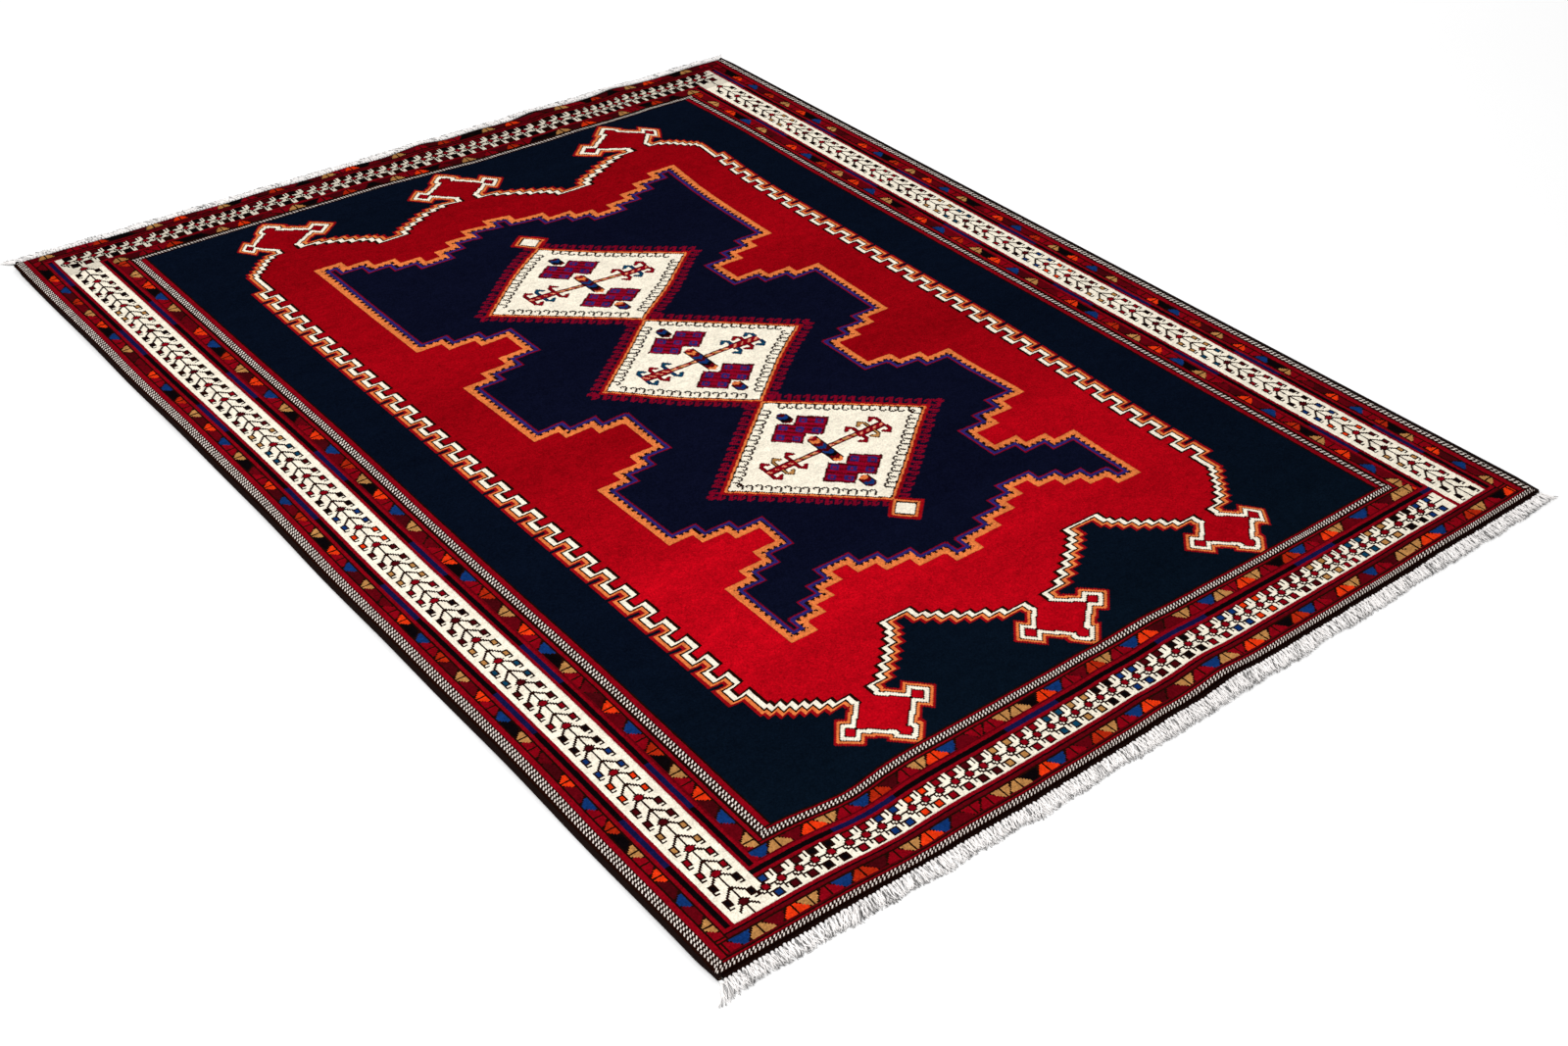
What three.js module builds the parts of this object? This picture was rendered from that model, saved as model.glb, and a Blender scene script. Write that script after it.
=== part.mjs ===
// Hand-knotted wool area rug, lying flat.
// Millimetres, +Z up. X runs across the rug (along the wefts), Y along it (along the warps).
// The origin is on the floor under the middle of the rug; the front end is towards -Y.
import * as THREE from "three";

// ---- driving dimensions -------------------------------------------------------------------
const WIDTH = 1500; // over both selvedges
const LENGTH = 1970; // over both flat-woven end bands, without knots and fringe
const GROUND_THICKNESS = 3; // warps and wefts
const PILE_HEIGHT = 7;
const GAP = 0.3; // between pieces that touch

const SELVEDGE_DIAMETER = 8;
const SELVEDGE_CORE_DIAMETER = 4;
const SELVEDGE_SIDES = 24;

const FRONT_END_BAND = 9; // depth of the flat-woven band at each end
const BACK_END_BAND = 5;
const KNOT_ROW_DEPTH = 5;
const KNOT_ROW_HEIGHT = 5;
const FRINGE_LENGTH = 25;
const FRINGE_THICKNESS = 4;

// Border bands from the outside in: depth on the two sides, at the front and at the back.
const BORDERS = [
  { name: "pile_outer_stripe", side: 14.5, front: 8, back: 0, color: 0x6b6258 },
  { name: "pile_outer_line", side: 10, front: 5, back: 3, color: 0x8c0f1c },
  { name: "pile_outer_guard", side: 16.5, front: 19, back: 16, color: 0x7a1a14 },
  { name: "pile_outer_twin_lines", side: 17, front: 13, back: 13, color: 0x4a0c22 },
  { name: "pile_main_border", side: 59, front: 43, back: 43, color: 0xe6dcc4 },
  { name: "pile_inner_twin_lines", side: 18, front: 17, back: 6, color: 0x4a0c22 },
  { name: "pile_inner_guard", side: 19, front: 19, back: 18, color: 0x7a1a14 },
  { name: "pile_inner_line", side: 9, front: 7, back: 3, color: 0x8c0f1c },
  { name: "pile_inner_stripe", side: 12.5, front: 9, back: 8, color: 0x8a8274 },
  { name: "pile_field_line", side: 9.5, front: 6, back: 2, color: 0x8c0f1c },
];

// The medallion sits a little left of the rug's middle. Its margins are from the navy field's edge.
const MEDALLION_CENTRE_X = -8;
const MEDALLION_SIDE_MARGIN = 92;
const MEDALLION_FRONT_MARGIN = 2;
const MEDALLION_BACK_MARGIN = 11;
const OUTLINE_WIDTH = 21; // ivory, brown, orange and red outline together

// Toothed long sides of the medallion.
const TOOTH_PITCH = 42.5;
const TOOTH_END_CLEARANCE = 25; // from the shoulder to the first tooth
const SLOT_DEPTH = 20;
const SLOT_HEIGHT = 7.5;
const GROUND_TOOTH_HEIGHT = 12.5;

// Pendants at each end: one in the middle and one near each corner.
const PENDANT_CORNER_INSET = 143; // from the teeth to the corner pendant's middle
const PENDANT_HALF_WIDTH = 84;
const PENDANT_TIP_HEIGHT = 66; // tip to widest
const PENDANT_LENGTH = 97; // tip to neck
const NECK_HALF_WIDTH = 29;
const NECK_LENGTH = 16;
const VALLEY_DEPTH = 183; // tip to the valley between two pendants
const VALLEY_HALF_WIDTH = 22;
const SHOULDER_DEPTH = 165; // tip to the shoulder at the corner

// Stepped inner medallion. Its margins are from the medallion's teeth and tips.
const INNER_SIDE_MARGIN = 135;
const INNER_FRONT_MARGIN = 235;
const INNER_BACK_MARGIN = 197;
const INNER_OUTLINE_WIDTH = 20; // orange, blue and red outline together
const STAIR_RISE = 21;
const STAIRS = [
  { offset: -140, rises: 1 },
  { offset: -88, rises: 2 },
  { offset: -46, rises: 3 },
  { offset: -14, rises: 4 },
  { offset: 14, rises: 3 },
  { offset: 49, rises: 2 },
  { offset: 83, rises: 1 },
  { offset: 118, rises: 0 },
]; // each riser, from the middle of the notch, and the height behind it
const TABS = [
  { place: 0.162, tip: 38 },
  { place: 0.41, tip: 75 },
  { place: 0.679, tip: 48 },
]; // place is a share of the inner medallion's length; tip is the flat's height
const TAB_STEP = 42;
const TAB_STEPS = 3;

// Chain of diamonds on the inner field, from front to back.
// Its margins are from the inner medallion's feet.
const CHAIN_FRONT_MARGIN = 109;
const CHAIN_BACK_MARGIN = 89;
const CHAIN_NECK_HALF_WIDTH = 5;
const CHAIN = [
  { name: "pile_end_square_front", share: 0.05, halfWidth: 27 },
  { name: "pile_diamond_front", share: 0.3, halfWidth: 193 },
  { name: "pile_diamond_middle", share: 0.294, halfWidth: 188 },
  { name: "pile_diamond_back", share: 0.306, halfWidth: 191 },
  { name: "pile_end_square_back", share: 0.05, halfWidth: 27 },
]; // share is of the chain's length

// ---- derived places -----------------------------------------------------------------------
const FRONT = -LENGTH / 2;
const BACK = LENGTH / 2;
const INSIDE_SELVEDGE = WIDTH / 2 - SELVEDGE_DIAMETER - GAP;
const PILE_BOTTOM = GROUND_THICKNESS + GAP;
const PILE_TOP = PILE_BOTTOM + PILE_HEIGHT;

const NAVY = 0x0a1026;
const IVORY = 0xe6dcc4;
const WOOL_ROUGHNESS = 0.95;
const rug = new THREE.Group();
rug.name = "area_rug";

function wool(color) {
  return new THREE.MeshStandardMaterial({ color, roughness: WOOL_ROUGHNESS, metalness: 0 });
}

function addMesh(name, geometry, color) {
  const mesh = new THREE.Mesh(geometry, wool(color));
  mesh.name = name;
  rug.add(mesh);
  return mesh;
}

// ---- outlines -----------------------------------------------------------------------------
function points(pairs) {
  return pairs.map(([x, y]) => new THREE.Vector2(x, y));
}

// A flat piece: an outline, with an optional hole, raised from one height to another.
function addSlab(name, outline, hole, bottom, top, color) {
  const shape = new THREE.Shape(points(outline));
  if (hole) shape.holes.push(new THREE.Path(points(hole)));
  const geometry = new THREE.ExtrudeGeometry(shape, { depth: top - bottom, bevelEnabled: false });
  geometry.translate(0, 0, bottom);
  return addMesh(name, geometry, color);
}

function rectangle({ x, front, back }) {
  return [
    [-x, front],
    [x, front],
    [x, back],
    [-x, back],
  ];
}

// The same outline moved sideways by a distance: inwards for a positive one.
function inset(outline, distance) {
  return outline.map(([x, y], i) => {
    const [px, py] = outline[(i + outline.length - 1) % outline.length];
    const [nx, ny] = outline[(i + 1) % outline.length];
    const before = new THREE.Vector2(x - px, y - py).normalize();
    const after = new THREE.Vector2(nx - x, ny - y).normalize();
    const bisector = new THREE.Vector2(-before.y - after.y, before.x + after.x);
    const scale = (2 * distance) / bisector.lengthSq();
    return [x + bisector.x * scale, y + bisector.y * scale];
  });
}

// Mirrors the right half of an outline, given from front to back, about a line along Y.
function mirrored(rightHalf, centreX) {
  const right = rightHalf.map(([x, y]) => [centreX + x, y]);
  const left = rightHalf.map(([x, y]) => [centreX - x, y]).reverse();
  const all = [...right, ...left];
  return all.filter(([x, y], i) => {
    const [nextX, nextY] = all[(i + 1) % all.length];
    return x !== nextX || y !== nextY;
  });
}

// ---- ground weave, end bands, knots and fringe --------------------------------------------
function addGround() {
  const area = {
    x: INSIDE_SELVEDGE,
    front: FRONT + FRONT_END_BAND + GAP,
    back: BACK - BACK_END_BAND - GAP,
  };
  addSlab("ground_weave", rectangle(area), null, 0, GROUND_THICKNESS, 0xd8d0c0);
}

function addEnd(end, outward, bandDepth, edge) {
  const across = (x, from, to) => {
    const a = edge + outward * from;
    const b = edge + outward * to;
    return rectangle({ x, front: Math.min(a, b), back: Math.max(a, b) });
  };
  const half = WIDTH / 2;
  const knots = [GAP, KNOT_ROW_DEPTH];
  const fringe = [KNOT_ROW_DEPTH + GAP, KNOT_ROW_DEPTH + FRINGE_LENGTH];
  const band = across(INSIDE_SELVEDGE, -bandDepth, 0);
  addSlab("end_band_" + end, band, null, 0, GROUND_THICKNESS, 0x1c1310);
  addSlab("warp_knots_" + end, across(half, ...knots), null, 0, KNOT_ROW_HEIGHT, 0xe4e0dc);
  addSlab("fringe_" + end, across(half, ...fringe), null, 0, FRINGE_THICKNESS, 0xdcd8d4);
}

// ---- selvedges ----------------------------------------------------------------------------
function circle(path, radius, clockwise) {
  for (let i = 0; i < SELVEDGE_SIDES; i++) {
    const turn = ((clockwise ? -i : i) / SELVEDGE_SIDES) * 2 * Math.PI;
    const [x, y] = [radius * Math.cos(turn), radius * Math.sin(turn)];
    if (i === 0) path.moveTo(x, y);
    else path.lineTo(x, y);
  }
  path.closePath();
  return path;
}

function addRod(name, x, radius, boreRadius, color) {
  const shape = circle(new THREE.Shape(), radius, false);
  if (boreRadius) shape.holes.push(circle(new THREE.Path(), boreRadius, true));
  const geometry = new THREE.ExtrudeGeometry(shape, { depth: LENGTH, bevelEnabled: false });
  geometry.rotateX(Math.PI / 2);
  const mesh = addMesh(name, geometry, color);
  mesh.position.set(x, BACK, SELVEDGE_DIAMETER / 2);
}

function addSelvedge(side, sign) {
  const x = sign * (WIDTH - SELVEDGE_DIAMETER) * 0.5;
  const coreRadius = SELVEDGE_CORE_DIAMETER / 2;
  addRod("selvedge_core_" + side, x, coreRadius, 0, 0xcfc6b4);
  addRod("selvedge_wrap_" + side, x, SELVEDGE_DIAMETER / 2, coreRadius + GAP, 0x17100e);
}

// ---- pile: border bands -------------------------------------------------------------------
function addPile(name, outline, hole, color) {
  const outer = inset(outline, GAP / 2);
  const inner = hole && inset(hole, -GAP / 2);
  addSlab(name, outer, inner, PILE_BOTTOM, PILE_TOP, color);
}

// A band that is open at the back: its inner edge runs out at the outer one's back.
function openBand(outer, inner) {
  return [
    [-outer.x, outer.front],
    [outer.x, outer.front],
    [outer.x, outer.back],
    [inner.x, outer.back],
    [inner.x, inner.front],
    [-inner.x, inner.front],
    [-inner.x, outer.back],
    [-outer.x, outer.back],
  ];
}

// Adds the border bands and returns the rectangle that they leave.
function addBorders() {
  let area = {
    x: INSIDE_SELVEDGE,
    front: FRONT + FRONT_END_BAND,
    back: BACK - BACK_END_BAND,
  };
  for (const { name, side, front, back, color } of BORDERS) {
    const inner = { x: area.x - side, front: area.front + front, back: area.back - back };
    if (back > 0) addPile(name, rectangle(area), rectangle(inner), color);
    else addPile(name, openBand(area, inner), null, color);
    area = inner;
  }
  return area;
}

// ---- pile: medallion ----------------------------------------------------------------------
// Half of one pendant end, from the middle out; depth is measured from the tips inwards.
function pendantEnd(halfWidth) {
  const half = [
    [0, 0],
    [PENDANT_HALF_WIDTH, PENDANT_TIP_HEIGHT],
    [NECK_HALF_WIDTH, PENDANT_LENGTH],
    [NECK_HALF_WIDTH, PENDANT_LENGTH + NECK_LENGTH],
  ];
  const spacing = halfWidth - PENDANT_CORNER_INSET;
  const valley = [
    [spacing / 2 - VALLEY_HALF_WIDTH, VALLEY_DEPTH],
    [spacing / 2 + VALLEY_HALF_WIDTH, VALLEY_DEPTH],
  ];
  const cornerPendant = [
    ...half.slice(1).reverse().map(([x, depth]) => [spacing - x, depth]),
    ...half.map(([x, depth]) => [spacing + x, depth]),
  ];
  return [...half, ...valley, ...cornerPendant, [halfWidth - SLOT_DEPTH, SHOULDER_DEPTH]];
}

// Teeth of one long side, from front to back, centred between the shoulders.
function teeth({ front, back }, outX, inX, toothHeight) {
  const room = back - front - 2 * (SHOULDER_DEPTH + TOOTH_END_CLEARANCE);
  const count = Math.floor(room / TOOTH_PITCH);
  const first = (front + back - (count - 1) * TOOTH_PITCH) / 2;
  const pairs = [];
  for (let i = 0; i < count; i++) {
    const middle = first + i * TOOTH_PITCH;
    pairs.push([inX, middle - toothHeight / 2], [outX, middle - toothHeight / 2]);
    pairs.push([outX, middle + toothHeight / 2], [inX, middle + toothHeight / 2]);
  }
  return pairs;
}

// The medallion's edge over its outline, and the edge of its plain ground.
function medallionOutlines({ halfWidth, front, back }) {
  const length = back - front;
  const slotX = halfWidth - SLOT_DEPTH;
  const groundX = slotX - OUTLINE_WIDTH;
  const end = pendantEnd(halfWidth);
  const plain = mirrored([...end, [slotX, length], [0, length]], 0);
  const groundEnd = inset(plain, OUTLINE_WIDTH).filter(([x, depth]) => x >= 0 && depth < length / 2);
  const edge = (ends, sideTeeth) => [
    ...ends.map(([x, depth]) => [x, front + depth]),
    ...sideTeeth,
    ...ends.map(([x, depth]) => [x, back - depth]).reverse(),
  ];
  const outer = edge(end, teeth({ front, back }, halfWidth, slotX, TOOTH_PITCH - SLOT_HEIGHT));
  const groundTeeth = teeth({ front, back }, groundX + SLOT_DEPTH, groundX, GROUND_TOOTH_HEIGHT);
  return [outer, edge(groundEnd, groundTeeth)].map((half) => mirrored(half, MEDALLION_CENTRE_X));
}

// ---- pile: stepped inner medallion --------------------------------------------------------
// Half of one stepped end, from the middle out; depth is measured from the feet inwards.
function steppedEnd(halfWidth) {
  let rises = 0;
  const pairs = [];
  for (const stair of STAIRS) {
    const x = halfWidth / 2 + stair.offset;
    pairs.push([x, rises * STAIR_RISE], [x, stair.rises * STAIR_RISE]);
    rises = stair.rises;
  }
  return [...pairs, [halfWidth, 0]];
}

// One tab that steps in from the side, from front to back.
function tab(halfWidth, middle, tip) {
  const half = [];
  for (let step = 0; step < TAB_STEPS; step++) {
    const offset = tip / 2 + (TAB_STEPS - 1 - step) * STAIR_RISE;
    const x = halfWidth - step * TAB_STEP;
    half.push([x, offset], [x - TAB_STEP, offset]);
  }
  return [
    ...half.map(([x, offset]) => [x, middle - offset]),
    ...half.map(([x, offset]) => [x, middle + offset]).reverse(),
  ];
}

function innerOutline({ halfWidth, front, back }) {
  const end = steppedEnd(halfWidth);
  const half = [
    ...end.map(([x, depth]) => [x, front + depth]),
    ...TABS.flatMap(({ place, tip }) => tab(halfWidth, front + place * (back - front), tip)),
    ...end.map(([x, depth]) => [x, back - depth]).reverse(),
  ];
  return mirrored(half, MEDALLION_CENTRE_X);
}

// ---- pile: chain of diamonds --------------------------------------------------------------
// Adds the diamonds and returns the outline of the whole chain.
function addChain(inner) {
  const chain = [];
  let start = inner.front + CHAIN_FRONT_MARGIN;
  const chainLength = inner.back - CHAIN_BACK_MARGIN - start;
  CHAIN.forEach(({ name, share, halfWidth }, i) => {
    const length = share * chainLength;
    const frontX = i === 0 ? 0 : CHAIN_NECK_HALF_WIDTH;
    const backX = i === CHAIN.length - 1 ? 0 : CHAIN_NECK_HALF_WIDTH;
    const half = [
      [frontX, start],
      [halfWidth, start + length / 2],
      [backX, start + length],
    ];
    addPile(name, mirrored(half, MEDALLION_CENTRE_X), null, IVORY);
    chain.push(...(i === 0 ? half : half.slice(1)));
    start += length;
  });
  return mirrored(chain, MEDALLION_CENTRE_X);
}

// ---- the rug ------------------------------------------------------------------------------
addGround();
addEnd("front", -1, FRONT_END_BAND, FRONT);
addEnd("back", 1, BACK_END_BAND, BACK);
addSelvedge("left", -1);
addSelvedge("right", 1);

const field = addBorders();
const medallion = {
  halfWidth: field.x - MEDALLION_SIDE_MARGIN,
  front: field.front + MEDALLION_FRONT_MARGIN,
  back: field.back - MEDALLION_BACK_MARGIN,
};
const inner = {
  halfWidth: medallion.halfWidth - INNER_SIDE_MARGIN,
  front: medallion.front + INNER_FRONT_MARGIN,
  back: medallion.back - INNER_BACK_MARGIN,
};
const [medallionEdge, groundEdge] = medallionOutlines(medallion);
const innerEdge = innerOutline(inner);
const innerFieldEdge = inset(innerEdge, INNER_OUTLINE_WIDTH);
const chainEdge = addChain(inner);
addPile("pile_field", rectangle(field), medallionEdge, NAVY);
addPile("pile_medallion_outline", medallionEdge, groundEdge, 0xd8a070);
addPile("pile_medallion", groundEdge, innerEdge, 0xa80c14);
addPile("pile_inner_outline", innerEdge, innerFieldEdge, 0xc86a30);
addPile("pile_inner_field", innerFieldEdge, chainEdge, NAVY);

export default rug;
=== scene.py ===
import math

import bpy
import numpy as np
from mathutils import Matrix, Vector


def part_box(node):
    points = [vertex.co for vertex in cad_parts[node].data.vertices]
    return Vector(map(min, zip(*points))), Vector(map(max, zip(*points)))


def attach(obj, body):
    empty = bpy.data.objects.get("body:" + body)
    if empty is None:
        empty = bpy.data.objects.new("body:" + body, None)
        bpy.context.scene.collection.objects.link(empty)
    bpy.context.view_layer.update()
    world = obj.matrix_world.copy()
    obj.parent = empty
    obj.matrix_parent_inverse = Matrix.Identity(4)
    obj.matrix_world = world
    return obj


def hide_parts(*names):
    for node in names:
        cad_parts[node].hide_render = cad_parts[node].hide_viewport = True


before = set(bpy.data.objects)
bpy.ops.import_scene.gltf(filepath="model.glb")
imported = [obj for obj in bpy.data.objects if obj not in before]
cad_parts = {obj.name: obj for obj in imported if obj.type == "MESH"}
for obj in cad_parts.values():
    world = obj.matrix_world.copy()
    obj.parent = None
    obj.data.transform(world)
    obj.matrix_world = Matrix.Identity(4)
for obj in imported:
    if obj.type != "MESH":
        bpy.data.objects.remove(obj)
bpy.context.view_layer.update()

# ---- the knot grid
# The pile is a grid of knots. Each knot has a colour and belongs to one CAD pile node.

KNOT = 0.0025                      # pitch of the knots, both ways
MM = 0.001
SEED = 20
NODE_SLOT = {
    "pile_outer_stripe": "pile_stripe", "pile_outer_line": "pile_red_line",
    "pile_outer_guard": "pile_guard", "pile_outer_twin_lines": "pile_twin_lines",
    "pile_main_border": "pile_ivory", "pile_inner_twin_lines": "pile_twin_lines",
    "pile_inner_guard": "pile_guard", "pile_inner_line": "pile_red_line",
    "pile_inner_stripe": "pile_stripe", "pile_field_line": "pile_red_line",
    "pile_field": "pile_navy", "pile_medallion_outline": "pile_outline",
    "pile_medallion": "pile_red", "pile_inner_outline": "pile_orange_outline",
    "pile_inner_field": "pile_navy", "pile_diamond_front": "pile_ivory",
    "pile_diamond_middle": "pile_ivory", "pile_diamond_back": "pile_ivory",
    "pile_end_square_front": "pile_ivory", "pile_end_square_back": "pile_ivory",
}
PILE_NODES = list(NODE_SLOT)
DIAMOND_NODES = [n for n in PILE_NODES if "_diamond_" in n]
SQUARE_NODES = [n for n in PILE_NODES if "_square_" in n]
NODE_INDEX = {name: k for k, name in enumerate(PILE_NODES)}

BOXES = {name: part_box(name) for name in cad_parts}
PILE_LOW = [min(BOXES[n][0][a] for n in PILE_NODES) for a in range(3)]
PILE_HIGH = [max(BOXES[n][1][a] for n in PILE_NODES) for a in range(3)]
NX = round((PILE_HIGH[0] - PILE_LOW[0]) / KNOT)
NY = round((PILE_HIGH[1] - PILE_LOW[1]) / KNOT)
STEP_X = (PILE_HIGH[0] - PILE_LOW[0]) / NX
STEP_Y = (PILE_HIGH[1] - PILE_LOW[1]) / NY
COL_X = PILE_LOW[0] + (np.arange(NX) + 0.5) * STEP_X
ROW_Y = PILE_LOW[1] + (np.arange(NY) + 0.5) * STEP_Y
GX, GY = np.meshgrid(COL_X, ROW_Y)
COLS, ROWS = np.meshgrid(np.arange(NX), np.arange(NY))


def col_at(x):
    """The grid line nearest to x, as a column count from the left."""
    return int(round((x - PILE_LOW[0]) / STEP_X))


def row_at(y):
    return int(round((y - PILE_LOW[1]) / STEP_Y))


def shifted(mask, dx, dy):
    """mask moved by dx columns and dy rows, with nothing wrapping round."""
    out = np.zeros_like(mask)
    h, w = mask.shape
    src_y = slice(max(0, -dy), min(h, h - dy))
    src_x = slice(max(0, -dx), min(w, w - dx))
    dst_y = slice(max(0, dy), min(h, h + dy))
    dst_x = slice(max(0, dx), min(w, w + dx))
    out[dst_y, dst_x] = mask[src_y, src_x]
    return out


def grown(mask, nx, ny, corners=True):
    """mask grown by nx columns and ny rows; without corners a slanting edge stays thin."""
    sideways = mask.copy()
    for k in range(1, nx + 1):
        sideways |= shifted(mask, k, 0) | shifted(mask, -k, 0)
    base = sideways if corners else mask
    out = sideways.copy()
    for k in range(1, ny + 1):
        out |= shifted(base, 0, k) | shifted(base, 0, -k)
    return out


def inside_polygon(points, xs, ys):
    """Which of the points (xs, ys) are inside a closed polygon."""
    out = np.zeros(xs.shape, bool)
    for (x1, y1), (x2, y2) in zip(points, points[1:] + points[:1]):
        if y1 == y2:
            continue
        crosses = (ys >= min(y1, y2)) & (ys < max(y1, y2))
        out ^= crosses & (xs < x1 + (ys - y1) * (x2 - x1) / (y2 - y1))
    return out


def node_mask(name):
    """The knots whose centres lie on the top of a CAD node."""
    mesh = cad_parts[name].data
    co = np.zeros(len(mesh.vertices) * 3, np.float32)
    mesh.vertices.foreach_get("co", co)
    co = co.reshape(-1, 3)
    mesh.calc_loop_triangles()
    tris = np.zeros(len(mesh.loop_triangles) * 3, np.int32)
    mesh.loop_triangles.foreach_get("vertices", tris)
    top = co[:, 2].max()
    out = np.zeros((NY, NX), bool)
    for tri in co[tris.reshape(-1, 3)]:
        if tri[:, 2].min() < top - 1e-5:
            continue
        c0, c1 = max(0, col_at(tri[:, 0].min()) - 1), col_at(tri[:, 0].max()) + 1
        r0, r1 = max(0, row_at(tri[:, 1].min()) - 1), row_at(tri[:, 1].max()) + 1
        part = inside_polygon([tuple(p[:2]) for p in tri], GX[r0:r1, c0:c1], GY[r0:r1, c0:c1])
        out[r0:r1, c0:c1] |= part
    return out


def owner_grid():
    """For each knot, the index of its CAD node. Knots over a gap take a neighbour's."""
    owner = np.full((NY, NX), -1, int)
    for name in PILE_NODES:
        owner[node_mask(name)] = NODE_INDEX[name]
    while (owner < 0).any():
        for dx, dy in ((1, 0), (-1, 0), (0, 1), (0, -1)):
            near = shifted(owner + 1, dx, dy) - 1
            empty = (owner < 0) & (near >= 0)
            owner[empty] = near[empty]
    return owner


# ---- dye colours

def dye(r, g, b):
    """A colour as the eye reads it, 0 to 255, as a linear albedo."""
    c = np.array([r, g, b], float) / 255.0
    return np.where(c <= 0.04045, c / 12.92, ((c + 0.055) / 1.055) ** 2.4)


DYES = {
    "navy": dye(6, 13, 27), "inner_navy": dye(9, 12, 31), "red": dye(150, 3, 15),
    "ivory": dye(246, 236, 216), "brown": dye(30, 10, 5), "black": dye(10, 6, 8),
    "tan": dye(176, 124, 70), "orange_red": dye(222, 52, 14), "orange": dye(222, 120, 62),
    "blue": dye(14, 48, 104), "maroon": dye(66, 6, 12), "stripe_white": dye(238, 226, 216),
    "line_red": dye(128, 4, 18), "teal": dye(12, 62, 88), "figure": dye(136, 5, 34),
    "figure_blue": dye(40, 34, 100), "hook_red": dye(118, 5, 32), "edge_red": dye(146, 10, 18),
    "dark_blue": dye(17, 19, 62), "violet": dye(58, 24, 70), "guard_red": dye(92, 4, 14),
    "salmon": dye(226, 138, 106), "rust": dye(168, 36, 12),
}
DYE_NAMES = list(DYES)
DYE = {name: k for k, name in enumerate(DYE_NAMES)}
colour = np.full((NY, NX), DYE["navy"], int)


def put(rows, cols, name):
    """Colours single knots, leaving out those off the grid."""
    for r, c in zip(rows, cols):
        if 0 <= r < NY and 0 <= c < NX:
            colour[r, c] = DYE[name]


# ---- border bands

def strips(outer, inner):
    """The four strips of a band: (where, knots along, knots in from the outer edge, width)."""
    (x0, y0, _), (x1, y1, _) = BOXES[outer]
    (u0, v0, _), (u1, v1, _) = BOXES[inner]
    i0, i1, j0, j1 = col_at(x0), col_at(x1), row_at(y0), row_at(y1)
    p0, p1, q0, q1 = col_at(u0), col_at(u1), row_at(v0), row_at(v1)
    if j1 >= NY - 1:
        j1 = NY
    front = (slice(j0, q0), slice(i0, i1))
    back = (slice(q1, j1), slice(i0, i1))
    left = (slice(q0, q1), slice(i0, p0))
    right = (slice(q0, q1), slice(p1, i1))
    return {
        "front": (front, COLS[front] - i0, ROWS[front] - j0, q0 - j0),
        "back": (back, COLS[back] - i0, j1 - 1 - ROWS[back], j1 - q1),
        "left": (left, ROWS[left] - q0, COLS[left] - i0, p0 - i0),
        "right": (right, ROWS[right] - q0, i1 - 1 - COLS[right], i1 - p1),
    }


# For each knot of a stripe with white dashes: how the dashes run there.
BRAID = {key: np.ones((NY, NX)) for key in ("base", "sign", "side", "rows", "wide", "pitch")}
DASH_PITCH = {"front": 5.6 * MM, "back": 5.6 * MM, "left": 6.2 * MM, "right": 7.8 * MM}
DASH_MARGIN = {"front": 0.2, "back": 0.2, "left": 0.2, "right": 1.0}       # in knots


def paint_barber(outer, inner, start, rows):
    """A dark band. Its slanting white dashes are drawn by the material, from the grids."""
    for side, (where, along, across, width) in strips(outer, inner).items():
        if along.size == 0:
            continue
        colour[where] = DYE["brown"]
        sign = -1 if side in ("back", "right") else 1
        edge = COLS[where] if side in ("left", "right") else ROWS[where]
        first = edge[0, 0] if sign > 0 else edge[-1, -1] + 1
        values = {
            "base": -sign * first - start[side], "sign": sign, "rows": rows[side],
            "side": side in ("left", "right"), "pitch": DASH_PITCH[side],
            "wide": (width - start[side] - DASH_MARGIN[side]) / rows[side],
        }
        for key, value in values.items():
            BRAID[key][where] = value


def paint_line(outer, inner, name="line_red"):
    """A red band with one row of dark knots on its inner side."""
    for where, along, across, width in strips(outer, inner).values():
        colour[where] = np.where(across == width - 1, DYE["brown"], DYE[name])


def paint_twin(outer, inner):
    """Two red lines with a dark one between, navy or black by turns."""
    for side, (where, along, across, width) in strips(outer, inner).items():
        dark = np.where((along + 65) // 37 % 3 == 0, DYE["dark_blue"], DYE["black"])
        middle = (across >= 2) & (across < width - 2)
        out = np.where(middle, dark, DYE["line_red"])
        if width <= 5:                # the narrow front band has one wide line, one dull one
            out = np.where(across > width - 3, DYE["line_red"], DYE["guard_red"])
            out[across == width - 3] = DYE["black"]
        colour[where] = out


GUARD_PITCH = 19
GUARD_OUT = "line_red tan orange_red line_red rust line_red orange_red guard_red".split()
GUARD_IN = "blue guard_red tan blue maroon tan blue line_red tan black".split()
SIDE_OUT = "line_red guard_red maroon line_red black".split()
SIDE_IN = "tan blue orange_red tan rust blue orange_red guard_red".split()
BACK_IN = "tan line_red rust black tan orange_red guard_red".split()
BACK_OUT = "guard_red maroon line_red black maroon".split()
SEAMED = [DYE[n] for n in ("tan", "orange_red", "rust", "line_red")]


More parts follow.
